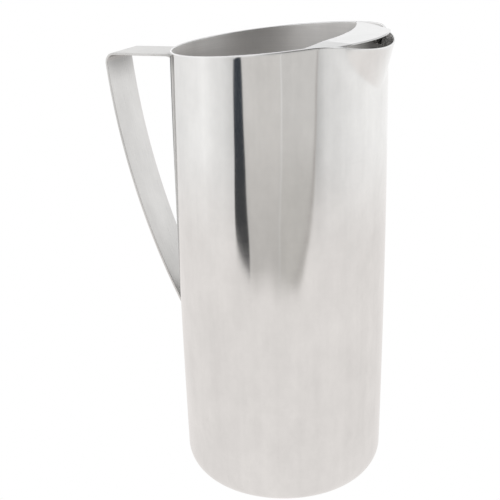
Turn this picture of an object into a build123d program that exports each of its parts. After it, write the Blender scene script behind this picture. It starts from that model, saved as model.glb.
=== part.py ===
from build123d import *
from math import cos, radians, sin, tan
import os

# A tall water pitcher of polished sheet steel: a drawn body with a pressed spout, a crescent
# ice guard across the spout, and a bent strap handle. The sheets are joined by spot welds.
# Millimetres. The origin is the centre of the flat base, +Z is up, +X points at the spout.

# Body: the wall is one shallow barrel arc in side view
BASE_RADIUS = 52.3           # where the wall line, carried down, meets the base plane
MID_RADIUS = 54.2
TOP_RADIUS = 54.0
BLANK_HEIGHT = 246.0         # height of the drawn body before its rim is cut
BASE_CORNER_RADIUS = 15.0
WALL = 1.0
REACH = 2 * TOP_RADIUS       # half-size of cutting tools that must pass the whole body

# Rim: a sloping plane that rises to the spout, then dips to the pouring lip
RIM_HEIGHT = 236.6           # on the axis
RIM_SLOPE = 5.87             # degrees, up towards the spout
LIP_START_X = 40.5           # the rim turns down from here to the nose
LIP_SLOPE = 13.2             # degrees, down towards the nose
LIP_BLEND_RADIUS = 14.0

# Spout: a leaning round nose pushed out of the wall
NOSE_RADIUS = 29.5
NOSE_OUT = 6.8               # how far the nose stands out at the top
NOSE_TOP_Z = 242.2
NOSE_DEPTH = 22.0            # the nose has died out this far below its top
NOSE_LEAN = NOSE_OUT / NOSE_DEPTH
CREASE_RADIUS = 8.0

# Ice guard: a crescent plate just under the rim, with an ear bent down at each tip
GUARD_THICKNESS = 1.0
GUARD_HEIGHT = 237.5         # of its top face, carried to the axis
GUARD_SLOPE = 3.3            # degrees
GUARD_FRONT_RADIUS = 55.0    # of the edge across the mouth of the spout
GUARD_INNER_X = 32.3         # the hollow edge crosses the centre line here
GUARD_INNER_RADIUS = 101.0
EAR_DROP = 10.0
EAR_ANGLES = (40.0, 64.0)    # degrees from the spout
EAR_WELD_ANGLES = (46.0, 58.0)
EAR_WELD_DROP = 7.0          # below the guard's top face

# Handle: a flat strap with both ends formed to lie on the wall
STRAP_WIDTH = 23.2
STRAP_THICKNESS = 1.2
STRAP_BEND_RADIUS = 4.9      # of the strap's middle, at the upper and outer bends
FOOT_BEND_RADIUS = 12.0
FOOT_HALF_TURN = 14.0        # degrees, half of what the strap turns through at its foot
ARM_ROOT_Z = 225.8           # the strap's middle, where the arm leaves the wall
GRIP_TOP = (-98.4, 223.6)    # X and Z of the strap's middle
GRIP_MIDDLE = (-82.8, 150.0)
GRIP_FOOT = (-54.95, 85.3)
TAB_LENGTH = 19.0
TAB_CORNER_RADIUS = 4.0
TAB_LAP = 1.5                # the flat strap starts this far down the tab
STRAP_STAND_OFF = 0.2        # the flat strap stands this far off the tab's inner face
UPPER_TAB_TOP = ARM_ROOT_Z - STRAP_BEND_RADIUS
LOWER_TAB_TOP = GRIP_FOOT[1] - FOOT_BEND_RADIUS * tan(radians(FOOT_HALF_TURN))

# Spot welds
WELD_RADIUS = 2.5
HANDLE_WELD_DROP = 11.0      # below the top of each tab
HANDLE_WELD_OFFSET = 6.0     # degrees each side of the strap's centre line
FIT_GAP = 0.05               # between sheets that lie on each other


def wall_radius(height):
    """Outer radius of the barrel wall, from the parabola through its three stated radii."""
    t = height / BLANK_HEIGHT
    bulge = 4 * MID_RADIUS - 2 * (BASE_RADIUS + TOP_RADIUS)
    return BASE_RADIUS + (TOP_RADIUS - BASE_RADIUS) * t + bulge * t * (1 - t)


def barrel(inset):
    """The body of revolution, every face moved inwards by inset."""
    floor = (BASE_RADIUS - inset, inset)
    waist = (MID_RADIUS - inset, BLANK_HEIGHT / 2)
    top = (TOP_RADIUS - inset, BLANK_HEIGHT)
    with BuildSketch(Plane.XZ) as half:
        with BuildLine():
            Line((0, inset), floor)
            ThreePointArc(floor, waist, top)
            Polyline(top, (0, BLANK_HEIGHT), (0, inset))
        make_face()
        corner = half.vertices().sort_by_distance((floor[0], 0, inset))[0]
        fillet(corner, BASE_CORNER_RADIUS - inset)
    return revolve(half.sketch, Axis.Z)


def nose(inset):
    """A leaning cylinder whose front line leaves the wall and carries the pouring nose."""
    rings = []
    for height in (NOSE_TOP_Z - 2 * NOSE_DEPTH, BLANK_HEIGHT):
        stand_out = NOSE_OUT - NOSE_LEAN * (NOSE_TOP_Z - height)
        centre_x = TOP_RADIUS + stand_out - NOSE_RADIUS
        rings.append(Plane((centre_x, 0, height)) * Circle(NOSE_RADIUS - inset))
    return loft(rings, ruled=True)


def vessel(inset):
    """The solid form of the body with its spout, every face moved inwards by inset."""
    form = barrel(inset) + nose(inset)
    return fillet([edge for edge in form.edges() if is_spout_crease(edge)], CREASE_RADIUS)


def is_spout_crease(edge):
    """True for the curve where the nose leaves the wall: in front, sloping, not the top edge."""
    box = edge.bounding_box()
    return box.min.X > TOP_RADIUS / 2 and box.size.Y > WALL and box.size.Z > WALL


def rim_height(x):
    """Height of the cut edge of the body at x, with the lip's turn left sharp."""
    dip = max(0, x - LIP_START_X) * (tan(radians(RIM_SLOPE)) + tan(radians(LIP_SLOPE)))
    return RIM_HEIGHT + x * tan(radians(RIM_SLOPE)) - dip


def above_rim():
    """Everything above the rim line, as a tool that trims the body."""
    rim_line = [(x, rim_height(x)) for x in (-REACH, LIP_START_X, REACH)]
    with BuildSketch(Plane.XZ) as side:
        with BuildLine():
            Polyline(*rim_line, (REACH, 2 * BLANK_HEIGHT), (-REACH, 2 * BLANK_HEIGHT), close=True)
        make_face()
        turn = side.vertices().sort_by_distance((LIP_START_X, 0, rim_height(LIP_START_X)))[0]
        fillet(turn, LIP_BLEND_RADIUS)
    return extrude(side.sketch, REACH, both=True)


def radial_pin(angle, height):
    """A cylinder of the weld radius that crosses the wall along a radius."""
    direction = (cos(radians(angle)), sin(radians(angle)), 0)
    return extrude(Plane((0, 0, height), z_dir=direction) * Circle(WELD_RADIUS), REACH)


def spot_welds(places, inner_inset, outer_inset):
    """Weld nuggets at (angle, height) places, between two offsets of the barrel wall."""
    layer = barrel(outer_inset) - barrel(inner_inset)
    return [layer & radial_pin(angle, height) for angle, height in places]


def handle_weld_places(tab_top):
    return [(180 + side * HANDLE_WELD_OFFSET, tab_top - HANDLE_WELD_DROP) for side in (-1, 1)]


def guard_weld_places(side):
    places = []
    for angle in EAR_WELD_ANGLES:
        x = TOP_RADIUS * cos(radians(angle))
        places.append((side * angle, guard_height(x) - EAR_WELD_DROP))
    return places


def guard_height(x):
    return GUARD_HEIGHT + x * tan(radians(GUARD_SLOPE))


def ice_guard(interior):
    """Crescent plate with two ears, trimmed to the inside of the body."""
    tilt = Plane((0, 0, GUARD_HEIGHT), x_dir=(cos(radians(GUARD_SLOPE)), 0, sin(radians(GUARD_SLOPE))),
                 z_dir=(-sin(radians(GUARD_SLOPE)), 0, cos(radians(GUARD_SLOPE))))
    hollow = Pos(GUARD_INNER_X - GUARD_INNER_RADIUS, 0) * Circle(GUARD_INNER_RADIUS)
    crescent = Circle(GUARD_FRONT_RADIUS) - hollow
    plate = extrude(tilt * crescent, -GUARD_THICKNESS) & interior
    ears = ear_ring() - extrude(tilt * Rectangle(2 * REACH, 2 * REACH), REACH)
    return plate + ears


def ear_ring():
    """Two short arcs of sheet standing against the inside of the wall."""
    outer = WALL + FIT_GAP
    sheet = barrel(outer) - barrel(outer + GUARD_THICKNESS)
    first, last = EAR_ANGLES
    low = guard_height(TOP_RADIUS * cos(radians(last))) - EAR_DROP
    wedges = []
    for side in (-1, 1):
        rays = [(REACH * cos(radians(a)), side * REACH * sin(radians(a))) for a in (first, last)]
        base = Plane((0, 0, low)) * Polygon((0, 0), *rays, align=None)
        wedges.append(extrude(base, REACH, dir=(0, 0, 1)))
    return sheet & (wedges[0] + wedges[1])


def handle_strap():
    """The strap, swept flat along its bends, with formed tabs where it meets the wall."""
    root = (-wall_radius(ARM_ROOT_Z) - FIT_GAP - STRAP_STAND_OFF - STRAP_THICKNESS / 2, ARM_ROOT_Z)
    start = (root[0], UPPER_TAB_TOP - TAB_LAP)
    end = (GRIP_FOOT[0], LOWER_TAB_TOP - TAB_LAP)
    with BuildLine(Plane.XZ) as path:
        Line(start, root)
        Line(root, GRIP_TOP)
        ThreePointArc(GRIP_TOP, GRIP_MIDDLE, GRIP_FOOT)
        Line(GRIP_FOOT, end)
        bends = {root: STRAP_BEND_RADIUS, GRIP_TOP: STRAP_BEND_RADIUS, GRIP_FOOT: FOOT_BEND_RADIUS}
        for (x, z), radius in bends.items():
            fillet(path.vertices().sort_by_distance((x, 0, z))[0], radius)
    section = Plane((start[0], 0, start[1])) * Rectangle(STRAP_THICKNESS, STRAP_WIDTH)
    strap = sweep(section, path=path.wires()[0])
    return strap + formed_tab(UPPER_TAB_TOP) + formed_tab(LOWER_TAB_TOP)


def formed_tab(top):
    """A strap end bent to the wall's curve, reaching down from top."""
    sheet = barrel(-FIT_GAP - STRAP_THICKNESS) - barrel(-FIT_GAP)
    outline = RectangleRounded(STRAP_WIDTH, TAB_LENGTH + TAB_CORNER_RADIUS, TAB_CORNER_RADIUS)
    centre_z = top - (TAB_LENGTH - TAB_CORNER_RADIUS) / 2
    block = extrude(Plane((0, 0, centre_z), x_dir=(0, 1, 0), z_dir=(-1, 0, 0)) * outline, REACH)
    return sheet & block & (Pos(0, 0, top - REACH) * Box(2 * REACH, 2 * REACH, 2 * REACH))


def write(node, solids):
    export_step(Compound(children=solids), os.path.join("parts", node + ".step"))


def main():
    os.makedirs("parts", exist_ok=True)
    body = vessel(0) - vessel(WALL) - above_rim()
    guard = ice_guard(vessel(WALL + FIT_GAP))
    strap = handle_strap()

    onto_wall = (WALL / 2, -FIT_GAP - STRAP_THICKNESS)
    into_wall = (WALL + FIT_GAP + GUARD_THICKNESS, WALL / 2)
    welds = {
        "handle_upper_spot_welds": spot_welds(handle_weld_places(UPPER_TAB_TOP), *onto_wall),
        "handle_lower_spot_welds": spot_welds(handle_weld_places(LOWER_TAB_TOP), *onto_wall),
        "guard_left_spot_welds": spot_welds(guard_weld_places(1), *into_wall),
        "guard_right_spot_welds": spot_welds(guard_weld_places(-1), *into_wall),
    }
    for node, nuggets in welds.items():
        for nugget in nuggets:
            body -= nugget
            guard -= nugget
            strap -= nugget
        write(node, nuggets)
    write("body_shell", [body])
    write("ice_guard", [guard])
    write("handle_strap", [strap])


main()
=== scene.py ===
from math import atan2, cos, pi, radians, sin, sqrt, tan

import bpy
import numpy as np
from mathutils import Matrix, Vector


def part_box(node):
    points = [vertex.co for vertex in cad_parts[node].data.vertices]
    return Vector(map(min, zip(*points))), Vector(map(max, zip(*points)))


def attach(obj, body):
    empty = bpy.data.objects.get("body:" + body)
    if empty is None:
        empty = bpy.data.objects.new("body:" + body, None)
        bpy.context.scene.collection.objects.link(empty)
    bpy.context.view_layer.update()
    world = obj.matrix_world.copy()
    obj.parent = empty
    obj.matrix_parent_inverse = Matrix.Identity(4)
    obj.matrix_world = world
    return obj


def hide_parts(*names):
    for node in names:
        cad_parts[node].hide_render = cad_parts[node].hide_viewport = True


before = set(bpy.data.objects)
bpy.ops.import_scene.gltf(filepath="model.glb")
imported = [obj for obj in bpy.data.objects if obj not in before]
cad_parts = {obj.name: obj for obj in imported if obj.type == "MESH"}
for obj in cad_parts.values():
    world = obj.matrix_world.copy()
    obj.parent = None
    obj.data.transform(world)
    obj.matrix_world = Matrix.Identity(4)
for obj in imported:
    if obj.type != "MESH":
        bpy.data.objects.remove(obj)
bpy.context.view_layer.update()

# The pitcher stands on z = 0 with its axis on Z. The spout points along +X, the handle along -X.
# Everything is in metres.

STRAP_LOW, STRAP_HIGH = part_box("handle_strap")
UPPER_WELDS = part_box("handle_upper_spot_welds")
LOWER_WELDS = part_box("handle_lower_spot_welds")

# ---------------------------------------------------------------- driving dimensions of the meshes

WIDEST_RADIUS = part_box("body_shell")[1].y  # of the barrel wall
BASE_RADIUS = WIDEST_RADIUS - 0.00206      # where the wall line, carried down, meets the table
MID_RADIUS = WIDEST_RADIUS - 0.00016
TOP_RADIUS = WIDEST_RADIUS - 0.00036
BARREL_HEIGHT = 0.246                      # the barrel arc runs over this height
BASE_CORNER_RADIUS = 0.015
WALL = 0.001
LAP_GAP = 0.00005                          # between sheets that are welded together
RIM_HEIGHT = 0.2366                        # of the sloping rim plane, on the axis
RIM_SLOPE = tan(radians(5.87))
LIP_START_X = 0.0405
LIP_SLOPE = tan(radians(13.2))
LIP_BLEND = 0.0035                         # the rim's turn into the lip is rounded over this much each side

NOSE_OUT = 0.0068                          # how far the spout stands out of the wall at its top
NOSE_TOP_Z = 0.2422
NOSE_DEPTH = 0.028                         # the pressed V runs this far down the wall
NOSE_FLARE = 1.35                          # above 1, the nose turns out more towards its top
NOSE_HALF_ANGLE = 31                       # degrees from the front to the V's crease, at the top
NOSE_FLATNESS = 0.35                       # 0 is one round arc, 1 makes the flanks beside it flattest
NOSE_START = 0.02                          # share of the depth at the V's foot that is left as plain wall
CREASE_BLEND = 0.0012                      # how softly the nose leaves the wall

GUARD_THICKNESS = 0.001
GUARD_HEIGHT = 0.2375
GUARD_SLOPE = tan(radians(3.3))
GUARD_FRONT_RADIUS = 0.055
GUARD_INNER_X = 0.0323
GUARD_INNER_RADIUS = 0.101
GUARD_BEND_RADIUS = 0.0007
GUARD_FLANGE_LENGTH = 0.0078
TIP_SHARE = 0.985                          # the crescent's tips are cut off at this share of its sweep
EAR_ANGLES = (40, 64)                      # degrees from the spout: the flange grows and ends here
EAR_RAMP = 3                               # degrees over which it does
EAR_CURL = (34, 39)                        # degrees between which the plate's edge turns down
EAR_WELD_ANGLES = (46, 58)
EAR_WELD_DROP = 0.007
WING_ANGLE = radians(24)                   # the right tip is pressed down a little beyond this line
WING_LENGTH = 0.0160
WING_DROP = 0.0014

STRAP_WIDTH = STRAP_HIGH.y - STRAP_LOW.y
STRAP_THICKNESS = 0.0012
STRAP_BEND_RADIUS = 0.0049
STRAP_EDGE_RADIUS = 0.00014
FOOT_BEND_RADIUS = 0.012
FOOT_HALF_TURN = radians(14)
ARM_ROOT_Z = 0.2258
GRIP_TOP = (-0.0984, 0.2236)
GRIP_MIDDLE = (-0.0828, 0.1500)
GRIP_FOOT = (-0.05495, 0.0853)
TAB_LENGTH = 0.019
TAB_CORNER_RADIUS = 0.004
TAB_END_EASE = 0.0007                      # a tab's end thins over this length, as a rounded edge does,
TAB_END_LOSS = 0.45                        # and loses this share of its thickness
FORMED_LENGTH = 0.006                      # past a tab, the strap flattens over this length

WELD_RADIUS = 0.0025
WELD_SKIRT = 0.0006                        # a weld mark reaches this far into the sheet
WELD_RIDGE, WELD_DIMPLE = 0.00016, 0.00007
WELD_RAISE, WELD_FOOT = 0.00006, 0.0002    # it stands this far proud, and its edge starts this far below

CORNER_SHADE_REACH = 0.016                       # painted shade: how far from an inner corner the colour starts to darken
CORNER_SHADE_HEIGHTS = (0.15, 0.19)              # it starts to do so at the first height, fully from the second
CORNER_SHADE_POWER = 1.6                         # above 1, the corner's painted shade is darker
SPOUT_SHADED_SHARE = 0.20                        # painted shade: share of the colour left on the spout's inside
SPOUT_SHADE_X = (0.010, 0.034)              # it darkens from the first x to the second,
SPOUT_SHADE_DEPTHS = (0.040, 0.0115)        # from the first depth under the guard up to the second,
SPOUT_SHADE_END_DEPTHS = (0.005, 0.001)       # and is bright again from here to here
CLOUD_DEPTH = 0.045                        # soft patches in the polish, as a share of the steel's tone
STREAK_DEPTH = 0.018                       # faint upright streaks
NOISE_SPAN = (0.3, 0.7)                    # nearly all of a noise's values lie in here

# ---------------------------------------------------------------- camera and studio dimensions

CAMERA_PLACE = Vector((0.2667, -0.5016, 0.3327))
CAMERA_HEADING = radians(120.01)           # round Z, from the spout's side
CAMERA_DIP = radians(19.18)                # it looks down by this
CAMERA_ROLL = radians(1.41)                # and leans to its right by this
CAMERA_LENS, SENSOR_WIDTH = 82.53, 36      # millimetres
CAMERA_SHIFT = (0.0137, -0.0365)

# Brightness of the studio's far walls by azimuth in degrees: a light panel on each side of the camera,
# brightest square to the side and dimmer beside the camera, and a dark gap behind the object
PANELS = ((-180, 0.60), (-172, 0.14), (-160, 0.16), (-150, 0.84), (-84, 1.00), (-60, 0.85), (-46, 0.66),
          (38, 0.56), (48, 0.79), (84, 0.93), (112, 1.00), (165, 0.97), (180, 0.60))
PANEL_GLOW = 1.03
TABLE_NEAR = (0.876, 0.844, 0.826)         # the white table around the object, as the steel mirrors it

# The stage in front of the object, in metres out towards the camera and to the camera's right: the white
# table ends at its front edge, and beyond it a grey opening and a dark gap beside it widen away.
TABLE_FRONT = ((0.317, -0.192), (0.325, 0.095))
OPENING_KNEE = (0.48, 0.325)               # the opening's right side turns more outwards here
OPENING_FAR = ((2.6, -2.12), (2.6, 2.35))
OPENING_CORNER_RADIUS = 0.15
OPENING_KNEE_RADIUS = 0.5
OPENING_FADE = (0.330, 0.385)              # the table's white runs into the grey over this distance
JOINT_FRONT, JOINT_FAR = (0.325, -0.0195), (2.6, 0.13)
JOINT_HALF_WIDTHS = (0.002, 0.015)         # at its front and far end
EDGE_STRIP = 0.03                          # width of the opening's darker edge, growing with distance
GAP_CORNER = (0.302, -0.33)
GAP_CORNER_RADIUS = 0.12
GAP_BEND = (0.80, -0.86)
GAP_FAR = (2.6, -2.42)

CARD_STEP = 0.0005                         # the cards that show them lie this far above each other
CARD_NEAR_TO_FAR = (0.35, 1.10)            # a card's near colour runs into its far one over this distance
TABLE_TO_PANELS = (0.35, 0.80)             # and the white table into the panels
CARD_WANDER = 0.02                         # those distances wander by this much either way

DIM_AZIMUTH = radians(24)                  # the studio is open towards here, round from the camera
OPEN_SIDE_COSINES = (0.55, 0.97)           # of the angle from its middle, where it starts and is full
OPEN_SIDE_GREY = (0.045, 0.042, 0.039)
HORIZON_WHITE = (1.12, 1.12, 1.12)
OVERHEAD_COSINES = (0.19, 0.28)            # of the angle from straight up
OVERHEAD_GREY = (0.84, 0.84, 0.84)
FLOOR_REACH = 6.0


# ---------------------------------------------------------------- helpers

def grid_mesh(rows):
    """Points and faces of a tube through a list of closed rings, joined ring to ring."""
    rows = np.asarray(rows, float)
    count, width, _ = rows.shape
    index = np.arange(count * width).reshape(count, width)
    low, high = index[:-1], index[1:]
    faces = np.stack([low, np.roll(low, -1, axis=1), np.roll(high, -1, axis=1), high], -1)
    return rows.reshape(-1, 3), faces.reshape(-1, 4).tolist()


def add_object(name, points, faces, materials, smooth=True):
    mesh = bpy.data.meshes.new(name)
    mesh.from_pydata([tuple(p) for p in points], [], faces)
    for material in materials:
        mesh.materials.append(material)
    mesh.validate()
    mesh.update()
    for polygon in mesh.polygons:
        polygon.use_smooth = smooth
    piece = bpy.data.objects.new(name, mesh)
    bpy.context.scene.collection.objects.link(piece)
    return piece


def capped(points, faces, width):
    """Closes the first and last ring of a tube of rings with one point in the middle of each."""
    last = len(points) - width
    ends = [points[:width].mean(0), points[last:].mean(0)]
    foot, head = len(points), len(points) + 1
    for i in range(width):
        j = (i + 1) % width
        faces.append((foot, j, i))
        faces.append((head, last + i, last + j))
    return np.vstack([points, ends]), faces


def smoothstep(x):
    x = np.clip(x, 0, 1)
    return x * x * (3 - 2 * x)


def corner_arc(before, corner, after, radius):
    """Points round a corner of a path, from its straight side before to its straight side after."""
    a = (np.array(before) - corner) / np.linalg.norm(np.array(before) - corner)
    b = (np.array(after) - corner) / np.linalg.norm(np.array(after) - corner)
    half_angle = np.arccos(np.clip(a @ b, -1, 1)) / 2
    reach = radius / np.tan(half_angle)
    centre = corner + (a + b) / np.linalg.norm(a + b) * radius / np.sin(half_angle)
    start, end = corner + a * reach - centre, corner + b * reach - centre
    first, last = atan2(start[1], start[0]), atan2(end[1], end[0])
    sweep = (last - first + pi) % (2 * pi) - pi
    return [centre + radius * np.array([cos(first + sweep * t), sin(first + sweep * t)])
            for t in np.linspace(0, 1, 17)]


# ---------------------------------------------------------------- body shell

def barrel_radius(z):
    t = z / BARREL_HEIGHT
    bulge = 4 * MID_RADIUS - 2 * (BASE_RADIUS + TOP_RADIUS)
    return BASE_RADIUS + (TOP_RADIUS - BASE_RADIUS) * t + bulge * t * (1 - t)


def body_radius(angle, z, inset):
    """Radius of the body at an angle from the spout and a height, moved inwards by inset.

    Above the foot of the pressed V, each slice is the wall's circle, a flat flank that leaves it at the
    crease, and a round nose that the flank runs into.
    """
    wall = barrel_radius(z) - inset
    rise = 1 - (NOSE_TOP_Z - z) / NOSE_DEPTH
    lift = np.maximum(rise, NOSE_START)
    front = wall + NOSE_OUT * lift ** NOSE_FLARE
    crease = radians(NOSE_HALF_ANGLE) * (1 - np.maximum(1 - lift, 0) ** 2)
    centre = (front ** 2 - wall ** 2) / (2 * (front - wall * np.cos(crease)))
    steepest = np.arctan2(wall * np.sin(crease), wall * np.cos(crease) - centre)
    turn = steepest - NOSE_FLATNESS * (steepest - crease)
    arc = (wall * np.cos(crease - turn) - front * np.cos(turn)) / (1 - np.cos(turn))
    middle = front - arc
    side = np.abs((angle + pi) % (2 * pi) - pi)
    inside = arc ** 2 - (middle * np.sin(side)) ** 2
    rounded = middle * np.cos(side) + np.sqrt(np.maximum(inside, 0))
    nearest = wall * np.cos(crease - turn)
    flank = nearest / np.maximum(np.cos(side - turn), 0.2)
    touch = np.arctan2(arc * np.sin(turn), middle + arc * np.cos(turn))
    nose = np.where(side < touch, rounded, np.where(side < turn, flank, nearest))
    blend = np.minimum(CREASE_BLEND, 1.9 * (wall - nearest))    # under 2, so that it ends on the wall
    share = np.where(rise > NOSE_START, np.clip(0.5 + (nose - wall) / blend, 0, 1), 0)
    return wall * (1 - share) + nose * share + blend / 2 * share * (1 - share)


def rim_height(x):
    """Height of the cut edge at x: a slope up to the spout, rounded over into the dipping lip."""
    turn = np.clip(x - LIP_START_X + LIP_BLEND, 0, 2 * LIP_BLEND)
    past = np.maximum(x - LIP_START_X - LIP_BLEND, 0)
    return RIM_HEIGHT + RIM_SLOPE * x - (RIM_SLOPE + LIP_SLOPE) * (turn ** 2 / (4 * LIP_BLEND) + past)


def rim_heights(angles, inset):
    """Height of the rim at each angle, found by walking up the leaning wall."""
    z = np.full_like(angles, RIM_HEIGHT)
    for _ in range(40):
        z = rim_height(body_radius(angles, z, inset) * np.cos(angles))
    return z


def base_corner(inset, count):
    """Radius and height along the rounded base corner, from the flat base up to the wall."""
    radius = BASE_CORNER_RADIUS - inset
    lean = (barrel_radius(0.02) - barrel_radius(0.01)) / 0.01
    tilt = atan2(lean, 1)
    top_z = inset + radius * (1 - sin(tilt))
    centre_r = barrel_radius(top_z) - inset - radius * cos(tilt)
    turn = np.linspace(-pi / 2, -tilt, count)
    return centre_r + radius * np.cos(turn), inset + radius + radius * np.sin(turn)


def ring(radius, z, angles):
    return np.stack([radius * np.cos(angles), radius * np.sin(angles), np.broadcast_to(z, angles.shape)], -1)


def side_rows(angles, inset, rim, count):
    """Rings up one face of the wall, from the base corner to just under the rounded rim."""
    rows = []
    corner_r, corner_z = base_corner(inset, 20)
    for r in np.linspace(0.1, 0.95, 8) * corner_r[0]:
        rows.append(ring(r, inset, angles))
    for r, z in zip(corner_r, corner_z):
        rows.append(ring(r, z, angles))
    for share in np.linspace(0, 1, count)[1:]:
        z = corner_z[-1] + (rim - corner_z[-1]) * share
        rows.append(ring(body_radius(angles, z, inset), z, angles))
    return rows


def make_body(outside, inside, edge):
    """The drawn vessel: outer face, rounded rim and inner face in one closed skin."""
    columns, wall_rows, rim_rows = 400, 180, 10
    angles = np.linspace(0, 2 * pi, columns, endpoint=False)
    rim = rim_heights(angles, WALL / 2) - WALL / 2
    rows = side_rows(angles, 0, rim, wall_rows)
    outer_count = len(rows)
    for turn in np.linspace(0, pi, rim_rows + 2)[1:-1]:
        inset = WALL / 2 * (1 - cos(turn))
        z = rim + WALL / 2 * sin(turn)
        rows.append(ring(body_radius(angles, z, inset), z, angles))
    inner_start = len(rows)
    rows += side_rows(angles, WALL, rim, wall_rows)[::-1]
    points, faces = grid_mesh(rows)
    points, faces = capped(points, faces, columns)
    body = add_object("pitcher_body", points, faces, [outside, inside, edge])
    for polygon in body.data.polygons:
        row = min(polygon.vertices) // columns    # the ring that it starts from
        if row >= inner_start:
            polygon.material_index = 1
        elif row >= outer_count - 1:
            polygon.material_index = 2
    return body


# ---------------------------------------------------------------- ice guard

def guard_height(x):
    return GUARD_HEIGHT + GUARD_SLOPE * x


def guard_outer(angles):
    """Plan radius of the guard's edge: across the spout mouth a free arc, elsewhere along the wall."""
    z = guard_height(TOP_RADIUS * np.cos(angles))
    wall = body_radius(angles, z, WALL + LAP_GAP)
    return np.minimum(wall, GUARD_FRONT_RADIUS)


def make_guard(steel):
    """Crescent plate: rings across the plate follow the crescent from tip to tip."""
    centre = GUARD_INNER_X - GUARD_INNER_RADIUS
    bore = TOP_RADIUS - WALL
    tip_x = (bore ** 2 - GUARD_INNER_RADIUS ** 2 + centre ** 2) / (2 * centre)
    tip_angle = np.arccos(tip_x / bore)
    tip_turn = np.arcsin(bore * np.sin(tip_angle) / GUARD_INNER_RADIUS)
    share = np.linspace(-TIP_SHARE, TIP_SHARE, 240)
    angles = share * tip_angle
    outer_r = guard_outer(angles)
    outer = np.stack([outer_r * np.cos(angles), outer_r * np.sin(angles)], -1)
    turns = share * tip_turn
    inner = np.stack([centre + GUARD_INNER_RADIUS * np.cos(turns), GUARD_INNER_RADIUS * np.sin(turns)], -1)
    side = np.abs(np.degrees(angles))
    first, last = EAR_ANGLES
    curl = smoothstep((side - EAR_CURL[0]) / (EAR_CURL[1] - EAR_CURL[0]))
    flange = smoothstep((side - first) / EAR_RAMP) * smoothstep((last - side) / EAR_RAMP)
    rows = [guard_section(*station) for station in zip(inner, outer, curl, flange)]
    points, faces = grid_mesh(rows)
    points, faces = capped(points, faces, len(rows[0]))
    return add_object("pitcher_ice_guard", points, faces, [steel])


def guard_section(inner, outer, curl, flange):
    """One closed slice through the plate, from its free inner edge to its bent-down edge on the wall."""
    half = GUARD_THICKNESS / 2
    across = outer - inner
    width = np.linalg.norm(across)
    across = across / width
    # a first outline shows how far the slice reaches, and the second is corrected to reach the wall
    reach = max(s for s, lift in plate_outline(width, curl, flange, half))
    points = []
    for s, lift in plate_outline(2 * width - reach, curl, flange, half):
        x, y = inner + across * s
        beyond = -y * cos(WING_ANGLE) - x * sin(WING_ANGLE)
        drop = WING_DROP * min(max(beyond / WING_LENGTH, 0), 1)
        points.append((x, y, guard_height(x) - half + lift - drop))
    return points


def plate_outline(width, curl, flange, half):
    """Outline of a slice as (distance from the inner edge, height): flat, then a bend, then a flange."""
    bend = curl * pi / 2
    flat = max(width - GUARD_BEND_RADIUS - half, 0.2 * width)
    steps = [(half + t * (flat - half), 0.0, 0.0) for t in np.linspace(0, 1, 14)]
    for share in np.linspace(0, 1, 8)[1:]:
        turn, along = share * bend, share * GUARD_BEND_RADIUS * pi / 2
        chord = along * np.sinc(turn / (2 * pi))
        steps.append((flat + chord * np.cos(turn / 2), -chord * np.sin(turn / 2), turn))
    s, drop, turn = steps[-1]
    length = GUARD_BEND_RADIUS * (1 - curl) + GUARD_FLANGE_LENGTH * flange + 0.0001
    for share in np.linspace(0, 1, 6)[1:]:
        steps.append((s + share * length * np.cos(turn), drop - share * length * np.sin(turn), turn))
    return edge_rounded(steps, half)


def edge_rounded(steps, half):
    """Closed outline at a distance half each side of a middle line of (s, height, turn) steps."""
    above, below = [], []
    for s, height, turn in steps:
        normal = (np.sin(turn), np.cos(turn))
        above.append((s + half * normal[0], height + half * normal[1]))
        below.append((s - half * normal[0], height - half * normal[1]))
    loop = list(above)
    loop += half_circle(steps[-1], half, 1)
    loop += below[::-1]
    loop += half_circle(steps[0], half, -1)
    return loop


def half_circle(step, half, side):
    """Points between the two faces round the end of a plate; side 1 is the last end, -1 the first."""
    s, height, turn = step
    points = []
    for a in np.linspace(0, pi, 7)[1:-1]:
        along = half * np.sin(a) * side
        out = half * np.cos(a) * side
        points.append((s + along * np.cos(turn) + out * np.sin(turn),
                       height - along * np.sin(turn) + out * np.cos(turn)))
    return points


# ---------------------------------------------------------------- handle strap

def arc_through(first, middle, last, count):
    """Points on the circle through three points."""
    (x1, y1), (x2, y2), (x3, y3) = first, middle, last
    d = 2 * (x1 * (y2 - y3) + x2 * (y3 - y1) + x3 * (y1 - y2))
    q1, q2, q3 = x1 * x1 + y1 * y1, x2 * x2 + y2 * y2, x3 * x3 + y3 * y3
    cx = (q1 * (y2 - y3) + q2 * (y3 - y1) + q3 * (y1 - y2)) / d
    cy = (q1 * (x3 - x2) + q2 * (x1 - x3) + q3 * (x2 - x1)) / d
    radius = sqrt((x1 - cx) ** 2 + (y1 - cy) ** 2)
    a, b = atan2(y1 - cy, x1 - cx), atan2(y3 - cy, x3 - cx)
    sweep = (b - a + pi) % (2 * pi) - pi
    turns = a + sweep * np.linspace(0, 1, count)
    return [np.array([cx + radius * cos(t), cy + radius * sin(t)]) for t in turns]


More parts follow.
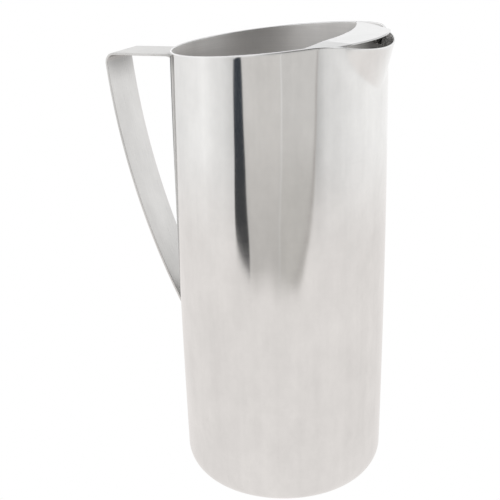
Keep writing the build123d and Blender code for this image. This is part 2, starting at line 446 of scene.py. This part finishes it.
def strap_path():
    """Middle line of the strap in X and Z: tab, arm, bowed grip, tab."""
    off_wall = STRAP_THICKNESS / 2 + LAP_GAP
    tab_top, foot_z = ARM_ROOT_Z - STRAP_BEND_RADIUS, GRIP_FOOT[1]
    root = np.array([-barrel_radius(ARM_ROOT_Z) - off_wall, ARM_ROOT_Z])
    upper_end = np.array([-barrel_radius(tab_top - TAB_LENGTH) - off_wall, tab_top - TAB_LENGTH])
    foot = np.array([-barrel_radius(foot_z) - off_wall, foot_z])
    low_z = foot_z - FOOT_BEND_RADIUS * tan(FOOT_HALF_TURN) - TAB_LENGTH
    lower_end = np.array([-barrel_radius(low_z) - off_wall, low_z])
    top = np.array(GRIP_TOP)
    # the bends at the grip's ends lead into points a little way along its arc
    grip = arc_through(GRIP_TOP, GRIP_MIDDLE, tuple(foot), 90)
    upper_corner = corner_arc(upper_end, root, top, STRAP_BEND_RADIUS)
    outer_corner = corner_arc(root, top, grip[4], STRAP_BEND_RADIUS)
    foot_corner = corner_arc(grip[-6], foot, lower_end, FOOT_BEND_RADIUS)
    grip = [p for p in grip if p[1] < outer_corner[-1][1] - 0.0005 and p[1] > foot_corner[0][1] + 0.0005]
    upper_tab = [upper_end + (upper_corner[0] - upper_end) * t for t in np.linspace(0, 1, 20)[:-1]]
    arm = [upper_corner[-1] + (outer_corner[0] - upper_corner[-1]) * t for t in np.linspace(0, 1, 24)[1:-1]]
    lower_tab = [foot_corner[-1] + (lower_end - foot_corner[-1]) * t for t in np.linspace(0, 1, 20)[1:]]
    return np.array(upper_tab + upper_corner + arm + outer_corner + grip + foot_corner + lower_tab)


def strap_section():
    """Closed outline of the strap's cross-section: across its width, and through its thickness."""
    edge = STRAP_EDGE_RADIUS
    flat_w, flat_t = STRAP_WIDTH / 2 - edge, STRAP_THICKNESS / 2 - edge
    points = []
    for centre_y, centre_n, first in ((1, 1, 0), (-1, 1, pi / 2), (-1, -1, pi), (1, -1, 3 * pi / 2)):
        for t in np.linspace(0, pi / 2, 5):
            points.append((centre_y * flat_w + edge * cos(first + t),
                           centre_n * flat_t + edge * sin(first + t)))
        if centre_y * centre_n > 0:
            start_y, height = points[-1]
            span = np.linspace(0, 1, 26)[1:-1]
            points += [(start_y - centre_y * 2 * flat_w * share, height) for share in span]
    return points


def make_strap(steel):
    """The strap swept along its path, curved across its width where it lies on the wall."""
    path = strap_path()
    step = np.linalg.norm(np.diff(path, axis=0), axis=1)
    length = np.concatenate([[0], np.cumsum(step)])
    tangent = np.gradient(path, length, axis=0)
    tangent /= np.linalg.norm(tangent, axis=1)[:, None]
    from_ends = np.minimum(length, length[-1] - length)
    section = np.array(strap_section())
    rows = []
    for (x, z), (tx, tz), end in zip(path, tangent, from_ends):
        width = tab_width(end)
        thin = 1 - TAB_END_LOSS * smoothstep(1 - end / TAB_END_EASE)
        across = section[:, 0] * width
        through = section[:, 1] * thin
        on_wall = smoothstep((TAB_LENGTH + FORMED_LENGTH - end) / FORMED_LENGTH)
        drop = (WIDEST_RADIUS - np.sqrt(WIDEST_RADIUS ** 2 - across ** 2)) * on_wall
        rows.append([(x - tz * t + back, y, z + tx * t) for y, t, back in zip(across, through, drop)])
    points, faces = grid_mesh(rows)
    points, faces = capped(points, faces, len(section))
    return add_object("pitcher_handle", points, faces, [steel])


def tab_width(end):
    """Share of the full width at a distance from the strap's end, for its rounded corners."""
    inside = max(TAB_CORNER_RADIUS - end, 0)
    narrow = TAB_CORNER_RADIUS - sqrt(max(TAB_CORNER_RADIUS ** 2 - inside ** 2, 0))
    return 1 - narrow / (STRAP_WIDTH / 2)


# ---------------------------------------------------------------- spot welds

def weld_profile():
    """Radius and height of a weld mark: a low raised ring round a shallow electrode dimple."""
    points = [(WELD_RADIUS * 0.9, -WELD_SKIRT)]
    for share in np.linspace(1, 0, 14)[:-1]:
        ridge = WELD_RIDGE * np.exp(-((share - 0.86) / 0.09) ** 2)
        dimple = -WELD_DIMPLE * (1 - smoothstep(share / 0.8)) + WELD_RAISE
        fade = smoothstep((1 - share) / 0.12)
        points.append((WELD_RADIUS * share, (ridge + dimple) * fade - WELD_FOOT * (1 - fade)))
    return points


def weld_mark(centre, outward):
    """Points and faces of one closed weld mark standing on a face."""
    turn = Vector(outward).to_track_quat("Z", "Y").to_matrix()
    count, rows = 40, []
    for r, h in weld_profile():
        rows.append([Vector(centre) + turn @ Vector((r * cos(a), r * sin(a), h))
                     for a in np.linspace(0, 2 * pi, count, endpoint=False)])
    points, faces = grid_mesh(rows)
    return capped(points, faces, count)


def make_welds(name, places, steel):
    """One object of weld marks, at a list of (centre, outward direction)."""
    points, faces = [], []
    for centre, outward in places:
        p, f = weld_mark(centre, outward)
        faces += [tuple(i + len(points) for i in face) for face in f]
        points += list(p)
    return add_object(name, points, faces, [steel])


def handle_weld_places(box):
    """Two marks on the outer face of a handle tab."""
    z = (box[0].z + box[1].z) / 2
    reach = barrel_radius(z) + LAP_GAP + STRAP_THICKNESS
    places = []
    for y in (box[0].y + WELD_RADIUS, box[1].y - WELD_RADIUS):
        a = pi - np.arcsin(y / reach)
        places.append(((reach * cos(a), reach * sin(a), z), (cos(a), sin(a), 0)))
    return places


def guard_weld_places(side):
    """Two marks on the inner face of a guard flange."""
    places = []
    for angle in EAR_WELD_ANGLES:
        a = radians(angle) * side
        z = guard_height(TOP_RADIUS * cos(a)) - EAR_WELD_DROP
        reach = barrel_radius(z) - WALL - LAP_GAP - GUARD_THICKNESS
        places.append(((reach * cos(a), reach * sin(a), z), (-cos(a), -sin(a), 0)))
    return places


# ---------------------------------------------------------------- materials

def new_material(name):
    material = bpy.data.materials.new(name)
    material.use_nodes = True
    nodes, links = material.node_tree.nodes, material.node_tree.links
    nodes.clear()
    output = nodes.new("ShaderNodeOutputMaterial")
    return material, nodes, links, output


def noise(nodes, links, coordinates, scale, size, detail=4.0, roughness=0.6):
    """Noise in the row frame, stretched by a different scale on each axis."""
    mapping = nodes.new("ShaderNodeMapping")
    mapping.inputs["Scale"].default_value = scale
    links.new(coordinates, mapping.inputs["Vector"])
    texture = nodes.new("ShaderNodeTexNoise")
    texture.inputs["Scale"].default_value = size
    texture.inputs["Detail"].default_value = detail
    texture.inputs["Roughness"].default_value = roughness
    links.new(mapping.outputs["Vector"], texture.inputs["Vector"])
    return texture.outputs["Fac"]


def remap(nodes, links, value, low, high, to_low, to_high):
    node = nodes.new("ShaderNodeMapRange")
    node.inputs["From Min"].default_value = low
    node.inputs["From Max"].default_value = high
    node.inputs["To Min"].default_value = to_low
    node.inputs["To Max"].default_value = to_high
    links.new(value, node.inputs["Value"])
    return node.outputs["Result"]


def between(nodes, links, value, low, high):
    """0 below low, 1 above high, smooth in between."""
    node = nodes.new("ShaderNodeMapRange")
    node.interpolation_type = "SMOOTHSTEP"
    node.inputs["From Min"].default_value = low
    node.inputs["From Max"].default_value = high
    links.new(value, node.inputs["Value"])
    return node.outputs["Result"]


def math_node(nodes, links, operation, a, b):
    node = nodes.new("ShaderNodeMath")
    node.operation = operation
    for socket, value in zip(node.inputs, (a, b)):
        if isinstance(value, (int, float)):
            socket.default_value = value
        else:
            links.new(value, socket)
    return node.outputs["Value"]


def bump(nodes, links, height, distance, normal=None):
    node = nodes.new("ShaderNodeBump")
    node.inputs["Distance"].default_value = distance
    links.new(height, node.inputs["Height"])
    if normal is not None:
        links.new(normal, node.inputs["Normal"])
    return node.outputs["Normal"]


def steel_material(name, tint, tone, roughness, grain, grain_depth, ripple_depth, brushed=0.0, painted_shade=None):
    """Sheet steel. tone and roughness are ranges, and grain is the fine noise's scale on each axis, which
    sets the way the brushing runs. brushed is how strongly level brushing round the body smears a
    reflection up and down. The last argument, if given, is a function for the share of the colour left where
    shade is painted in."""
    material, nodes, links, output = new_material(name)
    place = nodes.new("ShaderNodeTexCoord").outputs["Object"]
    fine = noise(nodes, links, place, grain, 1.0, 3.0, 0.7)
    cloud = noise(nodes, links, place, (1, 1, 0.6), 55.0, 6.0, 0.65)
    streak = noise(nodes, links, place, (1, 1, 0.03), 120.0, 3.0)
    ripple = noise(nodes, links, place, (1, 1, 0.6), 30.0, 1.0)
    shader = nodes.new("ShaderNodeBsdfPrincipled")
    shader.inputs["Metallic"].default_value = 1.0
    shader.inputs["Base Color"].default_value = (*[share * sum(tone) / 2 for share in tint], 1)
    shader.inputs["Roughness"].default_value = sum(roughness) / 2
    shade = math_node(nodes, links, "ADD", remap(nodes, links, fine, *NOISE_SPAN, *tone),
                      remap(nodes, links, cloud, *NOISE_SPAN, -CLOUD_DEPTH, CLOUD_DEPTH))
    shade = math_node(nodes, links, "ADD", shade,
                      remap(nodes, links, streak, *NOISE_SPAN, -STREAK_DEPTH, STREAK_DEPTH))
    # painted shade: the colour is darkened where the given function says shade falls
    if painted_shade:
        shade = math_node(nodes, links, "MULTIPLY", shade, painted_shade(nodes, links, place))
    colour = nodes.new("ShaderNodeCombineColor")
    for socket, share in zip(("Red", "Green", "Blue"), tint):
        links.new(math_node(nodes, links, "MULTIPLY", shade, share), colour.inputs[socket])
    links.new(colour.outputs["Color"], shader.inputs["Base Color"])
    rough = math_node(nodes, links, "ADD", remap(nodes, links, fine, *NOISE_SPAN, *roughness),
                      remap(nodes, links, cloud, *NOISE_SPAN, -0.01, 0.01))
    links.new(rough, shader.inputs["Roughness"])
    if brushed:
        smear_up_and_down(nodes, links, shader, brushed)
    wavy = bump(nodes, links, ripple, ripple_depth)
    links.new(bump(nodes, links, fine, grain_depth, wavy), shader.inputs["Normal"])
    links.new(shader.outputs["BSDF"], output.inputs["Surface"])
    return material


def smear_up_and_down(nodes, links, shader, strength):
    """Draws reflections out upright, as level brushing round the body does."""
    tangent = nodes.new("ShaderNodeTangent")
    tangent.direction_type = "RADIAL"
    tangent.axis = "Z"
    links.new(tangent.outputs["Tangent"], shader.inputs["Tangent"])
    shader.inputs["Anisotropic"].default_value = strength
    shader.inputs["Anisotropic Rotation"].default_value = 0.25


def painted_corner_shade(nodes, links, place):
    """Painted shade: the share of the colour left, less by ambient occlusion in the inner corner under the
    handle's arm, where the arm shades it, and all of it low down.
    """
    open_air = nodes.new("ShaderNodeAmbientOcclusion")
    open_air.samples = 8
    open_air.inputs["Distance"].default_value = CORNER_SHADE_REACH
    left = math_node(nodes, links, "POWER", open_air.outputs["AO"], CORNER_SHADE_POWER)
    split = nodes.new("ShaderNodeSeparateXYZ")
    links.new(place, split.inputs["Vector"])
    low_down = remap(nodes, links, split.outputs["Z"], *CORNER_SHADE_HEIGHTS, 1.0, 0.0)
    return math_node(nodes, links, "MAXIMUM", left, low_down)


def painted_spout_shade(nodes, links, place):
    """Painted shade: the share of the colour left, less on the spout's inside, in a soft-edged band under the
    guard where the guard shades it.
    """
    split = nodes.new("ShaderNodeSeparateXYZ")
    links.new(place, split.inputs["Vector"])
    slope = math_node(nodes, links, "MULTIPLY", split.outputs["X"], GUARD_SLOPE)
    height = math_node(nodes, links, "SUBTRACT", split.outputs["Z"], slope)
    forward = between(nodes, links, split.outputs["X"], *SPOUT_SHADE_X)
    up = between(nodes, links, height, *[GUARD_HEIGHT - depth for depth in SPOUT_SHADE_DEPTHS])
    below = remap(nodes, links, height, *[GUARD_HEIGHT - depth for depth in SPOUT_SHADE_END_DEPTHS], 1.0, 0.0)
    under_guard_shade = math_node(nodes, links, "MULTIPLY", math_node(nodes, links, "MULTIPLY", forward, up), below)
    return remap(nodes, links, under_guard_shade, 0.0, 1.0, 1.0, SPOUT_SHADED_SHARE)


def stage_position(nodes, links):
    """For a point on the stage: its azimuth about the object in degrees, and its distance. Azimuth 0 is
    towards the camera and grows to the camera's right."""
    place = nodes.new("ShaderNodeNewGeometry").outputs["Position"]
    parts = []
    for axis in (toward_camera(1, 0), toward_camera(0, 1)):
        dot = nodes.new("ShaderNodeVectorMath")
        dot.operation = "DOT_PRODUCT"
        dot.inputs[1].default_value = axis
        links.new(place, dot.inputs[0])
        parts.append(dot.outputs["Value"])
    azimuth = math_node(nodes, links, "ARCTAN2", parts[1], parts[0])
    azimuth = math_node(nodes, links, "MULTIPLY", azimuth, 180 / pi)
    length = nodes.new("ShaderNodeVectorMath")
    length.operation = "LENGTH"
    links.new(place, length.inputs[0])
    wander = noise(nodes, links, place, (1, 1, 1), 9.0, 3.0)
    wander = remap(nodes, links, wander, *NOISE_SPAN, -CARD_WANDER, CARD_WANDER)
    return azimuth, math_node(nodes, links, "ADD", length.outputs["Value"], wander)


def mix_colours(nodes, links, share, first, second):
    """A colour between two, which are either plain colours or sockets."""
    node = nodes.new("ShaderNodeMix")
    node.data_type = "RGBA"
    links.new(share, node.inputs["Factor"])
    for socket, colour in zip((node.inputs[6], node.inputs[7]), (first, second)):
        if isinstance(colour, tuple):
            socket.default_value = (*colour, 1)
        else:
            links.new(colour, socket)
    return node.outputs[2]


def glow_material(name, near, far, fade=None):
    """A glowing card, of one colour near the object and another far off, that may fade out nearby."""
    material, nodes, links, output = new_material(name)
    azimuth, distance = stage_position(nodes, links)
    emission = nodes.new("ShaderNodeEmission")
    colour = mix_colours(nodes, links, between(nodes, links, distance, *CARD_NEAR_TO_FAR), near, far)
    links.new(colour, emission.inputs["Color"])
    if fade is None:
        links.new(emission.outputs["Emission"], output.inputs["Surface"])
        return material
    mix = nodes.new("ShaderNodeMixShader")
    links.new(between(nodes, links, distance, *fade), mix.inputs["Fac"])
    links.new(nodes.new("ShaderNodeBsdfTransparent").outputs["BSDF"], mix.inputs[1])
    links.new(emission.outputs["Emission"], mix.inputs[2])
    links.new(mix.outputs["Shader"], output.inputs["Surface"])
    return material


# ---------------------------------------------------------------- studio

def make_camera():
    camera = bpy.data.objects.new("camera", bpy.data.cameras.new("camera"))
    camera.data.lens = CAMERA_LENS
    camera.data.sensor_width = SENSOR_WIDTH
    camera.data.shift_x, camera.data.shift_y = CAMERA_SHIFT
    ahead = Vector((cos(CAMERA_HEADING), sin(CAMERA_HEADING), 0)) * cos(CAMERA_DIP)
    ahead.z = -sin(CAMERA_DIP)
    level = Vector((sin(CAMERA_HEADING), -cos(CAMERA_HEADING), 0))
    right = level * cos(CAMERA_ROLL) - level.cross(ahead) * sin(CAMERA_ROLL)
    turn = Matrix((right, right.cross(ahead), -ahead)).transposed()
    camera.matrix_world = Matrix.Translation(CAMERA_PLACE) @ turn.to_4x4()
    bpy.context.scene.collection.objects.link(camera)
    bpy.context.scene.camera = camera


def toward_camera(out, side, height=0.0):
    """A point on the stage: out towards the camera from the axis, and side to the camera's right."""
    heading = Vector((CAMERA_PLACE.x, CAMERA_PLACE.y, 0)).normalized()
    right = Vector((-heading.y, heading.x, 0))
    return heading * out + right * side + Vector((0, 0, height))


def make_card(name, outline, layer, near, far, fade=None):
    """A flat card lying on the floor that only shows in reflections. Higher layers cover lower ones."""
    corners = [tuple(toward_camera(out, side, layer * CARD_STEP)) for out, side in outline]
    card = add_object(name, corners, [tuple(range(len(corners)))],
                      [glow_material(name, near, far, fade)], smooth=False)
    card.visible_camera = False
    card.visible_diffuse = False
    card.visible_shadow = False


def panel_colours(nodes, links, azimuth):
    share = remap(nodes, links, azimuth, -180, 180, 0, 1)
    ramp = nodes.new("ShaderNodeValToRGB")
    elements = ramp.color_ramp.elements
    while len(elements) < len(PANELS):
        elements.new(0.5)
    for element, (degrees_round, glow) in zip(elements, PANELS):
        element.position = (degrees_round + 180) / 360
        element.color = (glow, glow * 0.995, glow * 0.99, 1)
    links.new(share, ramp.inputs["Fac"])
    bright = nodes.new("ShaderNodeVectorMath")
    bright.operation = "SCALE"
    bright.inputs["Scale"].default_value = PANEL_GLOW
    links.new(ramp.outputs["Color"], bright.inputs[0])
    return bright.outputs["Vector"]


def make_floor():
    """A white floor. Mirrored in the steel it is a warm white table that runs into the panels."""
    corners = [(x * FLOOR_REACH, y * FLOOR_REACH, 0) for x, y in ((-1, -1), (1, -1), (1, 1), (-1, 1))]
    material, nodes, links, output = new_material("pale_floor")
    azimuth, distance = stage_position(nodes, links)
    mirrored = nodes.new("ShaderNodeEmission")
    share = between(nodes, links, distance, *TABLE_TO_PANELS)
    links.new(mix_colours(nodes, links, share, TABLE_NEAR, panel_colours(nodes, links, azimuth)),
              mirrored.inputs["Color"])
    seen = nodes.new("ShaderNodeEmission")
    mix = nodes.new("ShaderNodeMixShader")
    links.new(nodes.new("ShaderNodeLightPath").outputs["Is Camera Ray"], mix.inputs["Fac"])
    links.new(mirrored.outputs["Emission"], mix.inputs[1])
    links.new(seen.outputs["Emission"], mix.inputs[2])
    links.new(mix.outputs["Shader"], output.inputs["Surface"])
    add_object("floor", corners, [(0, 1, 2, 3)], [material], smooth=False)


def make_world():
    """White all round. In reflections it is dim on the camera's side, where the studio is open, and a
    little grey overhead."""
    world = bpy.data.worlds.new("studio")
    world.use_nodes = True
    nodes, links = world.node_tree.nodes, world.node_tree.links
    direction = nodes.new("ShaderNodeTexCoord").outputs["Generated"]
    shares = []
    for axis, cosines in ((toward_camera(cos(DIM_AZIMUTH), sin(DIM_AZIMUTH)), OPEN_SIDE_COSINES),
                          (Vector((0, 0, 1)), OVERHEAD_COSINES)):
        facing = nodes.new("ShaderNodeVectorMath")
        facing.operation = "DOT_PRODUCT"
        facing.inputs[1].default_value = axis
        links.new(direction, facing.inputs[0])
        shares.append(between(nodes, links, facing.outputs["Value"], *cosines))
    open_side, overhead = shares
    colour = mix_colours(nodes, links, overhead, HORIZON_WHITE, OVERHEAD_GREY)
    colour = mix_colours(nodes, links, open_side, colour, OPEN_SIDE_GREY)
    seen = nodes.new("ShaderNodeLightPath").outputs["Is Camera Ray"]
    links.new(mix_colours(nodes, links, seen, colour, (1.0, 1.0, 1.0)), nodes["Background"].inputs["Color"])
    bpy.context.scene.world = world


def make_reflected_studio():
    """What the polished wall mirrors beyond the table's front edge: the grey opening that the camera
    looks through, a thin bright joint down its middle, a darker edge strip and, beside it, a dark gap."""
    left, right = TABLE_FRONT
    right_side = corner_arc(left, right, OPENING_KNEE, OPENING_CORNER_RADIUS)
    right_side += corner_arc(right, OPENING_KNEE, OPENING_FAR[1], OPENING_KNEE_RADIUS) + [OPENING_FAR[1]]
    make_card("opening", [left] + right_side + [OPENING_FAR[0]], 1, (0.575, 0.555, 0.535),
              (0.715, 0.695, 0.675), OPENING_FADE)
    make_card("opening_right", [JOINT_FRONT] + right_side + [JOINT_FAR], 2,
              (0.565, 0.545, 0.520), (0.690, 0.675, 0.660), OPENING_FADE)
    (near, side), (far, far_side) = JOINT_FRONT, JOINT_FAR
    half, far_half = JOINT_HALF_WIDTHS
    joint = [(near, side - half), (near, side + half), (far, far_side + far_half), (far, far_side - far_half)]
    make_card("opening_joint", joint, 3, (0.66, 0.65, 0.64), (0.92, 0.92, 0.92), OPENING_FADE)
    inner_side = [(out + EDGE_STRIP * (1 + out), side) for out, side in right_side]
    make_card("opening_edge", right_side + inner_side[::-1], 3, (0.450, 0.430, 0.410),
              (0.500, 0.475, 0.460), OPENING_FADE)
    gap_side = corner_arc(left, GAP_CORNER, GAP_BEND, GAP_CORNER_RADIUS) + [GAP_BEND, GAP_FAR]
    make_card("dark_gap", [left] + gap_side + [OPENING_FAR[0]], 4, (0.050, 0.050, 0.051),
              (0.036, 0.044, 0.056))


# ---------------------------------------------------------------- put together

LEVEL_BRUSHED = (14, 14, 1500)             # noise scales on each axis
OUTSIDE = steel_material("polished_outside", (1, 0.995, 0.985), (0.795, 0.805), (0.085, 0.100),
                         LEVEL_BRUSHED, 0.000002, 0.0003, brushed=0.7)
# painted shade: INSIDE, GUARD and WELD darken in a band in the spout under the guard, where it shades them
INSIDE = steel_material("brushed_inside", (1, 0.985, 0.97), (0.92, 0.98), (0.42, 0.50),
                        LEVEL_BRUSHED, 0.00001, 0.0003, brushed=0.85, painted_shade=painted_spout_shade)
EDGE = steel_material("rim_edge", (1, 1, 1), (0.86, 0.90), (0.22, 0.28), (300, 300, 300), 0.000004, 0.0001)
GUARD = steel_material("satin_guard", (1, 1, 1), (0.60, 0.63), (0.12, 0.15),
                       (40, 1400, 40), 0.000006, 0.0002, painted_shade=painted_spout_shade)
# painted shade: the strap's colour darkens in the corner under its arm
STRAP = steel_material("satin_strap", (1, 0.99, 0.975), (0.64, 0.69), (0.27, 0.34),
                       (300, 1500, 20), 0.000006, 0.0003, painted_shade=painted_corner_shade)
WELD = steel_material("weld_marks", (1, 0.98, 0.95), (0.62, 0.74), (0.34, 0.42),
                      (900, 900, 900), 0.00001, 0.0, painted_shade=painted_spout_shade)

PIECES = [(make_body(OUTSIDE, INSIDE, EDGE), "body_shell", "body_steel"),
          (make_guard(GUARD), "ice_guard", "guard_steel"),
          (make_strap(STRAP), "handle_strap", "strap_steel")]
for name, places, node in (
        ("upper_handle_welds", handle_weld_places(UPPER_WELDS), "handle_upper_spot_welds"),
        ("lower_handle_welds", handle_weld_places(LOWER_WELDS), "handle_lower_spot_welds"),
        ("left_guard_welds", guard_weld_places(1), "guard_left_spot_welds"),
        ("right_guard_welds", guard_weld_places(-1), "guard_right_spot_welds")):
    PIECES.append((make_welds(name, places, WELD), node, "weld_steel"))
for piece, node, slot in PIECES:
    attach(piece, "root")
    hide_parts(node)

make_camera()
make_floor()
make_world()
make_reflected_studio()
bpy.context.scene.view_settings.view_transform = "Standard"
bpy.context.scene.cycles.max_bounces = 16
bpy.context.scene.cycles.glossy_bounces = 12
